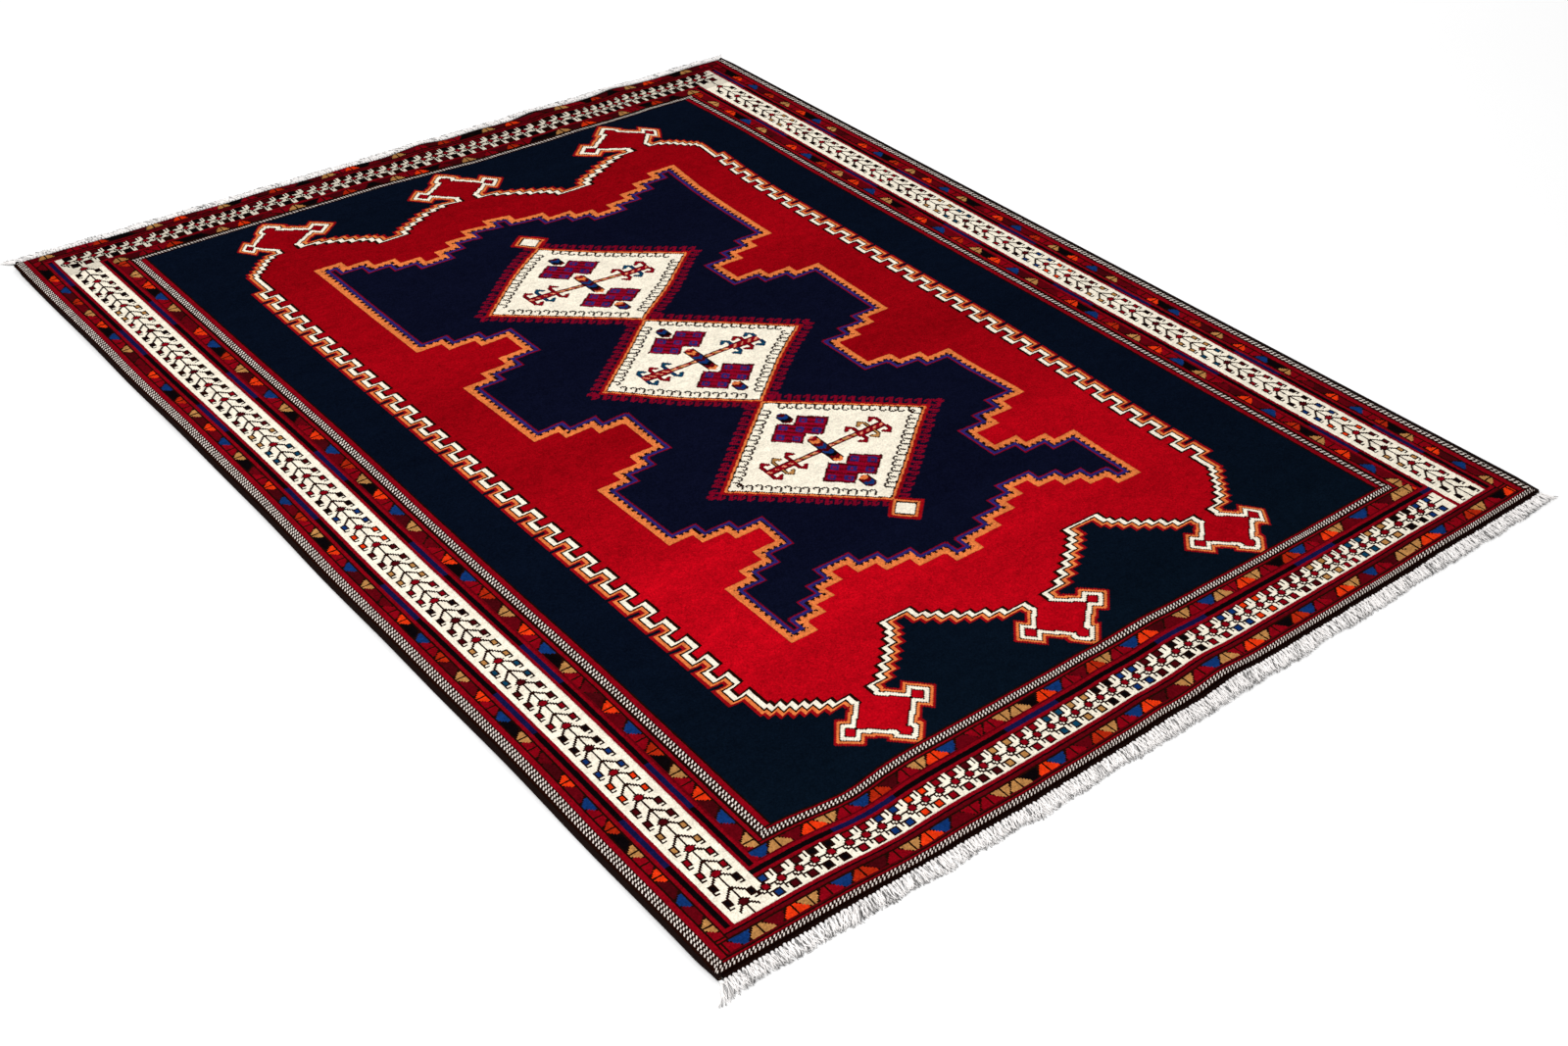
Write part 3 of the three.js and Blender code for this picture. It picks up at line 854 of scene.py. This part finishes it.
def ranged(tree, source, low, high, from_low=0.0, from_high=1.0):
    inputs = {"Value": source, "From Min": from_low, "From Max": from_high,
              "To Min": low, "To Max": high}
    return node(tree, "MapRange", inputs).outputs["Result"]


def maths(tree, operation, a, b=0.0):
    return node(tree, "Math", {0: a, 1: b}, operation=operation).outputs[0]


def mixed(tree, factor, a, b):
    inputs = {"Factor": factor, "A": a, "B": b}
    return node(tree, "Mix", inputs, data_type="RGBA").outputs["Result"]


def scaled_colour(tree, rgb, factor):
    return node(tree, "VectorMath", {0: rgb, "Scale": factor}, operation="SCALE").outputs[0]


def bump(tree, shader, height, distance, strength=1.0):
    inputs = {"Distance": distance, "Strength": strength, "Height": height}
    tree.links.new(node(tree, "Bump", inputs).outputs["Normal"], shader.inputs["Normal"])


DASH_LEAN = 0.55       # how far a dash leans over its row, in dashes
ROW_STEP = -0.08       # how far each row of dashes is set on from the last
DASH_THICK = (0.15, 0.22)
DASH_LONG = (0.36, 0.46)


def braid(tree, coords, dark):
    """Slanting white dashes in rows. "braid" holds (dash count, row, rows in the band)."""
    source = attribute(tree, "braid", "Vector")
    along, across, rows = node(tree, "SeparateXYZ", {0: source}).outputs
    wobble = ranged(tree, noise(tree, coords, 90.0, 1.0), -0.22, 0.22)
    row = maths(tree, "MULTIPLY", maths(tree, "FLOOR", across), ROW_STEP)
    inside = maths(tree, "SUBTRACT", maths(tree, "FRACT", across), 0.5)
    along = maths(tree, "ADD", maths(tree, "ADD", along, wobble), row)
    along = maths(tree, "ADD", along, maths(tree, "MULTIPLY", inside, -DASH_LEAN))
    beat = maths(tree, "SUBTRACT", maths(tree, "FRACT", along), 0.5)
    thick = ranged(tree, maths(tree, "ABSOLUTE", beat), 1.0, 0.0, *DASH_THICK)
    long = ranged(tree, maths(tree, "ABSOLUTE", inside), 1.0, 0.0, *DASH_LONG)
    start = ranged(tree, across, 0.0, 1.0, -0.05, 0.05)
    stop = ranged(tree, maths(tree, "SUBTRACT", rows, across), 0.0, 1.0, -0.05, 0.05)
    white = maths(tree, "MULTIPLY", maths(tree, "MULTIPLY", thick, long),
                  maths(tree, "MULTIPLY", start, stop))
    return mixed(tree, white, dark, (*DYES["stripe_white"], 1))


def pile_wool(name):
    """Cut wool pile: each knot's own colour, painted shade in the gaps between tufts, painted light
    and shade in streaks along the nap, and fine fibres.
    """
    mat, tree, shader = base_material(name, 0.95, 0.0, 0.0015)
    coords = node(tree, "TexCoord")
    knots = attribute(tree, "knot_colour", "Color")
    if name == "pile_stripe":
        knots = braid(tree, coords, knots)
    inputs = {"Scale": 0.9 / KNOT, "Vector": coords.outputs["Object"]}
    tufts = node(tree, "TexVoronoi", inputs).outputs["Distance"]
    fibre = noise(tree, coords, 900.0, 3.0)
    # painted light and shade: lighter and darker streaks along the pile's lean, as on velvet
    lean = noise(tree, coords, 60.0, 4.0, (1.0, 2.2, 1.0))
    # painted shade: colour darkened towards the edges of each tuft's cell, where the gaps between
    # tufts are
    gap = ranged(tree, tufts, 1.10, 0.78, 0.0, 0.9)
    fine = ranged(tree, fibre, 0.84, 1.16, 0.3, 0.7)
    nap_shading = ranged(tree, lean, 0.90, 1.10, 0.3, 0.7)
    factor = maths(tree, "MULTIPLY", maths(tree, "MULTIPLY", gap, fine), nap_shading)
    tree.links.new(scaled_colour(tree, knots, factor), shader.inputs["Base Color"])
    bump(tree, shader, maths(tree, "SUBTRACT", fibre, tufts), 0.0009, 0.8)
    return mat


def spun_yarn(name, rgb, dark, scale, toned=False):
    """Spun cotton or wool yarn: slanting fibres, with uneven colour."""
    mat, tree, shader = base_material(name, 0.9, 0.02, 0.004)
    coords = node(tree, "TexCoord")
    fibre = noise(tree, coords, scale, 4.0, (1.0, 0.35, 1.0))
    patch = noise(tree, coords, scale * 0.05, 3.0)
    both = maths(tree, "MULTIPLY", ranged(tree, fibre, 0.55, 1.1, 0.3, 0.7),
                 ranged(tree, patch, 0.8, 1.05, 0.3, 0.7))
    yarn = mixed(tree, both, (*dark, 1), (*rgb, 1))
    if toned:
        yarn = scaled_colour(tree, yarn, attribute(tree, "tone", "Fac"))
    tree.links.new(yarn, shader.inputs["Base Color"])
    bump(tree, shader, fibre, 0.0004)
    return mat


# ---- mesh building

def make_object(name, co, faces, material, nodes, smooth=True):
    mesh = bpy.data.meshes.new(name)
    mesh.vertices.add(len(co))
    mesh.vertices.foreach_set("co", co.astype(np.float32).ravel())
    mesh.loops.add(faces.size)
    mesh.loops.foreach_set("vertex_index", faces.astype(np.int32).ravel())
    mesh.polygons.add(len(faces))
    mesh.polygons.foreach_set("loop_start", np.arange(len(faces), dtype=np.int32) * 4)
    mesh.update(calc_edges=True)
    mesh.polygons.foreach_set("use_smooth", np.full(len(faces), smooth))
    mesh.materials.append(material)
    obj = bpy.data.objects.new(name, mesh)
    bpy.context.scene.collection.objects.link(obj)
    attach(obj, "root")
    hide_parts(*nodes)
    return obj


def add_colours(obj, rgb_per_face):
    layer = obj.data.color_attributes.new("knot_colour", "FLOAT_COLOR", "CORNER")
    rgba = np.ones((len(rgb_per_face), 4, 4), np.float32)
    rgba[:, :, :3] = rgb_per_face[:, None, :]
    layer.data.foreach_set("color", rgba.ravel())


def add_braid(obj, rows, cols, corners, repeats):
    """Where each corner of each face lies in the band of white dashes."""
    i, j = np.divmod(corners, NX + 1)
    here = {key: grid[rows, cols][:, None] for key, grid in BRAID.items()}
    side = here["side"] > 0
    across = np.where(side, j, i) * here["sign"] + here["base"]
    along = np.where(side, i, j) * KNOT / here["pitch"]
    count = np.broadcast_to(here["rows"], along.shape)
    values = np.stack([along, across / here["wide"], count], -1)
    walls = values[repeats]
    walls[..., 1] = -1.0              # outside the dashes, so that walls stay dark
    values = np.concatenate([values, walls]).astype(np.float32)
    layer = obj.data.attributes.new("braid", "FLOAT_VECTOR", "CORNER")
    layer.data.foreach_set("vector", values.ravel())


def add_flat_uv(obj, co, faces):
    """A plan-view map, so that baked colours keep one even scale."""
    layer = obj.data.uv_layers.new(name="OFBake")
    low, high = co[:, :2].min(0), co[:, :2].max(0)
    uv = 0.002 + 0.996 * (co[:, :2] - low) / (high - low)
    layer.data.foreach_set("uv", uv[faces.ravel()].astype(np.float32).ravel())


EDGE_DROP = [2.6 * MM, 0.9 * MM, 0.2 * MM]
PILE_TOP = PILE_HIGH[2] - 0.4 * MM
PILE_FOOT = PILE_LOW[2]
TUFT_JITTER = 0.28 * MM


def pile_surface():
    """The top points of the whole pile, one at each corner of a knot."""
    xs = PILE_LOW[0] + np.arange(NX + 1) * STEP_X
    ys = PILE_LOW[1] + np.arange(NY + 1) * STEP_Y
    x, y = np.meshgrid(xs, ys)
    z = np.full(x.shape, PILE_TOP)
    z += rng.normal(0, TUFT_JITTER, x.shape).clip(-2 * TUFT_JITTER, 2 * TUFT_JITTER)
    z += smooth_noise(rng, x.shape, 120, 90) * 0.25 * MM
    for k, drop in enumerate(EDGE_DROP):
        rim = np.zeros(x.shape, bool)
        rim[k, :] = rim[-1 - k, :] = True
        rim[:, k] = rim[:, -1 - k] = True
        z[rim] -= drop
    return np.stack([x, y, z], -1)


def pile_piece(name, mask, surface, material):
    """One pile node: a top face for each knot and a wall of tufts round its edge."""
    rows, cols = np.nonzero(mask)
    width = NX + 1
    a = rows * width + cols
    top = corners = np.stack([a, a + 1, a + width + 1, a + width], 1)
    walls, wall_knots = [], []
    for dx, dy, p, q in ((0, -1, 0, 1), (1, 0, 1, 2), (0, 1, 2, 3), (-1, 0, 3, 0)):
        edge = ~shifted(mask, -dx, -dy)[rows, cols]
        walls.append(top[edge][:, [q, p]])
        wall_knots.append(np.nonzero(edge)[0])
    walls = np.concatenate(walls)
    wall_knots = np.concatenate(wall_knots)
    used, inverse = np.unique(top, return_inverse=True)
    top = inverse.reshape(-1, 4)
    foot_of = np.full(surface.reshape(-1, 3).shape[0], -1)
    rim = np.unique(walls)
    foot_of[rim] = len(used) + np.arange(len(rim))
    local = np.full(len(foot_of), -1)
    local[used] = np.arange(len(used))
    wall_faces = np.stack([local[walls[:, 0]], local[walls[:, 1]],
                           foot_of[walls[:, 1]], foot_of[walls[:, 0]]], 1)
    co = surface.reshape(-1, 3)
    feet = co[rim].copy()
    feet[:, 2] = PILE_FOOT
    points = np.concatenate([co[used], feet])
    faces = np.concatenate([top, wall_faces])
    points = laid(points, pile=True)
    obj = make_object(name, points, faces, material, [name])
    rgb = knot_rgb[rows, cols]
    add_colours(obj, np.concatenate([rgb, rgb[wall_knots]]))
    add_flat_uv(obj, points, faces)
    if NODE_SLOT[name] == "pile_stripe":
        add_braid(obj, rows, cols, corners, wall_knots)
    return obj


def slab(low, high, nx, ny, relief, thickness_relief=1.0):
    """A closed sheet of nx by ny cells with ribs from relief(x, y) on both sides."""
    xs = np.linspace(low[0], high[0], nx + 1)
    ys = np.linspace(low[1], high[1], ny + 1)
    x, y = np.meshgrid(xs, ys)
    rise = relief(x, y)
    inside = np.ones(x.shape)
    inside[0, :] = inside[-1, :] = inside[:, 0] = inside[:, -1] = 0.6
    middle, half = (low[2] + high[2]) / 2, (high[2] - low[2]) / 2
    top = np.stack([x, y, middle + half * inside * (1 - rise)], -1).reshape(-1, 3)
    flat = middle - half * inside * (1 - rise * thickness_relief)
    bottom = np.stack([x, y, flat], -1).reshape(-1, 3)
    idx = np.arange(x.size).reshape(x.shape)
    quad = np.stack([idx[:-1, :-1], idx[:-1, 1:], idx[1:, 1:], idx[1:, :-1]], -1).reshape(-1, 4)
    ring = np.concatenate([idx[0, :-1], idx[:-1, -1], idx[-1, :0:-1], idx[:0:-1, 0]])
    after = np.roll(ring, -1)
    n = x.size
    walls = np.stack([ring, ring + n, after + n, after], 1)
    faces = np.concatenate([quad, quad[:, ::-1] + n, walls[:, ::-1]])
    return np.concatenate([top, bottom]), faces, quad


def tube(path, radii, sides, start=0):
    """One closed tube along path, a radius or a row of radii at each point."""
    ahead = np.gradient(path, axis=0)
    ahead /= np.linalg.norm(ahead, axis=1)[:, None]
    up = np.array([0.0, 0.0, 1.0])
    side = np.cross(ahead, up)
    side /= np.linalg.norm(side, axis=1)[:, None] + 1e-12
    lift = np.cross(side, ahead)
    turn = np.linspace(0, 2 * math.pi, sides, endpoint=False)
    radii = np.broadcast_to(radii, (len(path), sides))
    ring = (side[:, None, :] * np.cos(turn)[None, :, None]
            + lift[:, None, :] * np.sin(turn)[None, :, None])
    co = path[:, None, :] + ring * radii[:, :, None]
    n = len(path)
    idx = start + np.arange(n * sides).reshape(n, sides)
    nxt = np.roll(idx, -1, axis=1)
    faces = np.stack([idx[:-1], idx[1:], nxt[1:], nxt[:-1]], -1).reshape(-1, 4)
    return co.reshape(-1, 3), faces[:, ::-1]


MATERIALS = {s: pile_wool(s) for s in sorted(set(NODE_SLOT.values()))}
surface = pile_surface()
for node_name in PILE_NODES:
    mask = owner == NODE_INDEX[node_name]
    pile_piece(node_name, mask, surface, MATERIALS[NODE_SLOT[node_name]])

# ---- ground weave

GROUND_CELL = 3


def ground_piece():
    low, high = BOXES["ground_weave"]
    nx, ny = NX // GROUND_CELL, NY // GROUND_CELL
    weft = lambda x, y: 0.06 * (1 + np.sin(y * 2 * math.pi / 0.0171)) / 2
    co, faces, quad = slab(low, high, nx, ny, weft)
    co = laid(co)
    mat = pile_wool("ground_weave")
    obj = make_object("ground_weave", co, faces, mat, ["ground_weave"])
    r = np.minimum(NY - 1, (np.arange(ny) * GROUND_CELL + 1))
    c = np.minimum(NX - 1, (np.arange(nx) * GROUND_CELL + 1))
    rgb = knot_rgb[np.ix_(r, c)].reshape(-1, 3) * 0.8 + 0.02
    rest = np.tile(rgb[:1], (len(faces) - 2 * len(quad), 1))
    add_colours(obj, np.concatenate([rgb, rgb, rest]))
    add_flat_uv(obj, co, faces)
    return obj


ground = ground_piece()

# ---- ends and sides

END_WOOL = spun_yarn("end_band", dye(26, 9, 6), dye(6, 3, 3), 1500.0)
SELVEDGE_WOOL = spun_yarn("selvedge_wool", dye(26, 15, 12), dye(5, 3, 3), 1400.0)
CORE_WOOL = spun_yarn("selvedge_core", dye(120, 96, 74), dye(60, 44, 32), 1200.0)
COTTON = spun_yarn("warp_cotton", dye(255, 252, 250), dye(226, 220, 217), 1300.0, toned=True)


def end_band(side):
    name = "end_band_" + side
    low, high = BOXES[name]
    ribs = lambda x, y: 0.22 * (np.sin(x * 2 * math.pi / 0.005) ** 2)
    co, faces, _ = slab(low, high, 1184, 4, ribs, 0.5)
    return make_object(name, laid(co), faces, END_WOOL, [name])


WRAP_PITCH = 2.3 * MM


def straight_path(low, high, n, inset=0.0):
    """n points along the middle of a box, from front to back."""
    y = np.linspace(low.y + inset, high.y - inset, n)
    return np.stack([np.full(n, (low.x + high.x) / 2), y, np.full(n, (low.z + high.z) / 2)], 1)


def selvedge(side):
    """Dark wool wound round the side cord, each turn lying beside the last."""
    name = "selvedge_wrap_" + side
    low, high = BOXES[name]
    n, sides = 3400, 12
    path = straight_path(low, high, n)
    y = path[:, 1]
    theta = np.linspace(0, 2 * math.pi, sides, endpoint=False)
    phase = y[:, None] / WRAP_PITCH * math.pi + theta[None, :] * 0.5
    r = (high.z - low.z) / 2
    jitter = rng.normal(0, 0.01, (n, 1))
    radii = r * (0.86 + 0.13 * np.abs(np.sin(phase)) + jitter.clip(-0.01, 0.01))
    taper = np.clip(np.minimum(y - low.y, high.y - y) / 0.003, 0.2, 1)[:, None]
    co, faces = tube(path, radii * taper, sides)
    return make_object(name, laid(co), faces, SELVEDGE_WOOL, [name])


def selvedge_core(side):
    """The cord of cotton plies inside the wrapping."""
    name = "selvedge_core_" + side
    low, high = BOXES[name]
    n, sides = 500, 12
    path = straight_path(low, high, n, MM)
    y = path[:, 1]
    theta = np.linspace(0, 2 * math.pi, sides, endpoint=False)
    twist = np.cos(3 * (theta[None, :] + y[:, None] * 2 * math.pi / 0.03))
    co, faces = tube(path, (high.z - low.z) / 2 * (0.85 + 0.12 * twist), sides)
    return make_object(name, laid(co), faces, CORE_WOOL, [name])


KNOT_PITCH = 5.7 * MM


def add_tone(obj, values):
    """How light each point's cotton is: random on the warp knots, painted shade on the fringe strands.
    """
    layer = obj.data.attributes.new("tone", "FLOAT", "POINT")
    layer.data.foreach_set("value", values.astype(np.float32))


def warp_knots(side, way):
    """The row of small cotton knots that locks the end of the weave."""
    name = "warp_knots_" + side
    low, high = BOXES[name]
    count = int((high.x - low.x) / KNOT_PITCH)
    cols, lats = 8, 5
    parts, faces = [], []
    for k in range(count):
        x = low.x + (k + 0.5) * KNOT_PITCH + rng.normal(0, 0.4 * MM)
        y = (low.y + high.y) / 2 + rng.normal(0, 0.4 * MM)
        z = (low.z + high.z) / 2
        t = np.linspace(-1, 1, lats + 2)
        path = np.stack([x + 0.9 * MM * t * rng.normal(0, 1), y + 2.7 * MM * t * way,
                         z + 0.3 * MM * (1 - t * t)], 1)
        radii = (2.1 * MM + rng.normal(0, 0.15 * MM)) * np.sqrt(np.clip(1.05 - t * t, 0.06, 1))
        groove = 1 - 0.16 * (np.sin(t * 7 + k)[:, None] > 0.4)
        co, f = tube(path, radii[:, None] * groove, cols, sum(len(p) for p in parts))
        parts.append(co)
        faces.append(f)
    co = np.concatenate(parts)
    co[:, 2] = np.maximum(co[:, 2], 0.2 * MM)
    obj = make_object(name, laid(co), np.concatenate(faces), COTTON, [name])
    add_tone(obj, rng.uniform(0.75, 1.0, count).repeat(len(co) // count))
    return obj


STRANDS_PER_KNOT = 9
STRAND_STEPS = 8
STRAND_SIDES = 4


SHADOW_STRANDS = 0.15    # this share of the strands is painted dark, as painted shade in the gaps between strands
TIP_TONES, TIP_SHARES = [1.0, 0.5, 0.1], [0.4, 0.25, 0.35]


def strand(low, high, way, place, layer_of, lean, length):
    """The path and the radius of one strand, and the layer of the fringe it lies in."""
    s = np.linspace(0, 1, STRAND_STEPS)
    root_y = high.y if way < 0 else low.y
    layer = (layer_of + rng.uniform(0, 1)) / STRANDS_PER_KNOT
    k, count = place
    u = (k + 0.5 + rng.normal(0, 0.17)) / count
    x0 = low.x + min(max(u, 0), 1) * (high.x - low.x)
    length = length * rng.uniform(0.74, 1.0)
    edge = max(0.0, 1 - min(u, 1 - u) / 0.012) * (1 if u > 0.5 else -1)
    lean = lean + edge * 0.75 + rng.normal(0, 0.2)
    x = x0 + length * (lean * s + rng.normal(0, 0.2) * s * s)
    x += 0.6 * MM * np.sin(s * rng.uniform(4, 9) + rng.uniform(0, 6))
    y = root_y + way * (length * s - 2.2 * MM)
    z = (0.8 + 3.2 * layer * (1 - 0.7 * s) + 0.4 * np.sin(s * 6 + layer_of)) * MM
    r = (0.66 + rng.uniform(-0.12, 0.2)) * MM * (1 - 0.35 * s ** 3)
    return np.stack([x, y, np.maximum(z, r)], 1), r[:, None], layer


def strand_tone(layer):
    """How light one strand is along its length: lower strands are painted darker as painted shade,
    some strands are painted dark as shade in the gaps, and many tips are dark.
    """
    s = np.linspace(0, 1, STRAND_STEPS)
    # painted shade: strands lower in the fringe are darker
    shade = min(1.0, 0.62 + 0.9 * layer - 0.12 * rng.random())
    if rng.random() < SHADOW_STRANDS:
        shade = 0.10 + 0.25 * rng.random()
    tip = rng.choice(TIP_TONES, p=TIP_SHARES)
    return (shade * (1 + (tip - 1) * s ** 8)).repeat(STRAND_SIDES)


def fringe(side, way):
    """Loose cotton warps, matted and leaning, from each knot out over the floor."""
    name = "fringe_" + side
    low, high = BOXES[name]
    root_y = high.y if way < 0 else low.y
    long = high.y - low.y
    count = int((high.x - low.x) / KNOT_PITCH)
    parts, faces, tones, total = [], [], [], 0
    places = np.linspace(0, 1, count)
    leans = np.interp(places, np.linspace(0, 1, 19), rng.uniform(-0.45, 0.10, 19))
    lengths = np.interp(places, np.linspace(0, 1, 60), rng.uniform(0.74, 1.0, 60))
    for k in range(count):
        for m in range(STRANDS_PER_KNOT):
            path, r, layer = strand(low, high, way, (k, count), m, leans[k], long * lengths[k])
            co, f = tube(path, r, STRAND_SIDES, total)
            total += len(co)
            parts.append(co)
            faces.append(f)
            tones.append(strand_tone(layer))
    co = np.concatenate(parts)
    if way < 0:
        co[:, 1] += np.interp(co[:, 0], FRONT_X, FRONT_SHIFT) * MM
    fade = 1 - np.clip(np.abs(co[:, 1] - root_y) / long, 0, 1)
    co[:, 2] += ripple(co[:, 0], np.full(len(co), root_y)) * fade
    obj = make_object(name, co, np.concatenate(faces), COTTON, [name])
    add_tone(obj, np.concatenate(tones))
    return obj


for side_name, out_way in (("front", -1), ("back", 1)):
    end_band(side_name)
    warp_knots(side_name, out_way)
    fringe(side_name, out_way)
for side_name in ("left", "right"):
    selvedge(side_name)
    selvedge_core(side_name)

# ---- floor, light, camera


def floor_piece():
    """A wide pale floor, very slightly uneven in tone."""
    mesh = bpy.data.meshes.new("floor")
    r = 14.0
    mesh.from_pydata([(-r, -r, 0), (r, -r, 0), (r, r, 0), (-r, r, 0)], [], [(0, 1, 2, 3)])
    floor = bpy.data.objects.new("floor", mesh)
    floor.location.z = -0.0006
    bpy.context.scene.collection.objects.link(floor)
    mat, tree, shader = base_material("floor", 0.8, 0.1, 0.0)
    cloud = noise(tree, node(tree, "TexCoord"), 1.5, 3.0)
    tone = mixed(tree, cloud, (0.965, 0.965, 0.965, 1), (0.985, 0.985, 0.985, 1))
    tree.links.new(tone, shader.inputs["Base Color"])
    mesh.materials.append(mat)


WORLD_LIGHT = 0.62


def studio_world():
    world = bpy.data.worlds.new("studio")
    bpy.context.scene.world = world
    world.use_nodes = True
    back = world.node_tree.nodes["Background"]
    back.inputs["Color"].default_value = (1.0, 1.0, 1.0, 1)
    back.inputs["Strength"].default_value = WORLD_LIGHT


def soft_light(name, place, size, watts):
    """A square area light aimed at the middle of the rug."""
    data = bpy.data.lights.new(name, "AREA")
    data.shape = "SQUARE"
    data.size = size
    data.energy = watts
    light = bpy.data.objects.new(name, data)
    bpy.context.scene.collection.objects.link(light)
    light.location = place
    light.rotation_mode = "QUATERNION"
    light.rotation_quaternion = (-Vector(place)).to_track_quat("-Z", "Y")


LENS = 44.47                       # with a 36 mm sensor, from the photograph's perspective
CAMERA_PLACE = (-1.579, -2.074, 1.598 + 0.006)
CAMERA_FORWARD = (0.5155, 0.6231, -0.5883)
CAMERA_RIGHT = (0.7797, -0.6258, 0.0204)


def photo_camera():
    """A camera that sees the rug at the photograph's angle."""
    data = bpy.data.cameras.new("photo")
    data.lens = LENS
    data.sensor_width = 36.0
    data.clip_start, data.clip_end = 0.05, 60.0
    cam = bpy.data.objects.new("photo", data)
    bpy.context.scene.collection.objects.link(cam)
    forward = Vector(CAMERA_FORWARD).normalized()
    right = Vector(CAMERA_RIGHT).normalized()
    up = right.cross(forward)
    turn = Matrix((right, up, -forward)).transposed().to_4x4()
    turn.translation = Vector(CAMERA_PLACE)
    cam.matrix_world = turn
    bpy.context.scene.camera = cam


floor_piece()
studio_world()
soft_light("key", (-2.6, -0.6, 3.4), 2.6, 120)
soft_light("fill", (2.8, 2.6, 3.2), 3.5, 60)
photo_camera()
bpy.context.scene.view_settings.view_transform = "Standard"
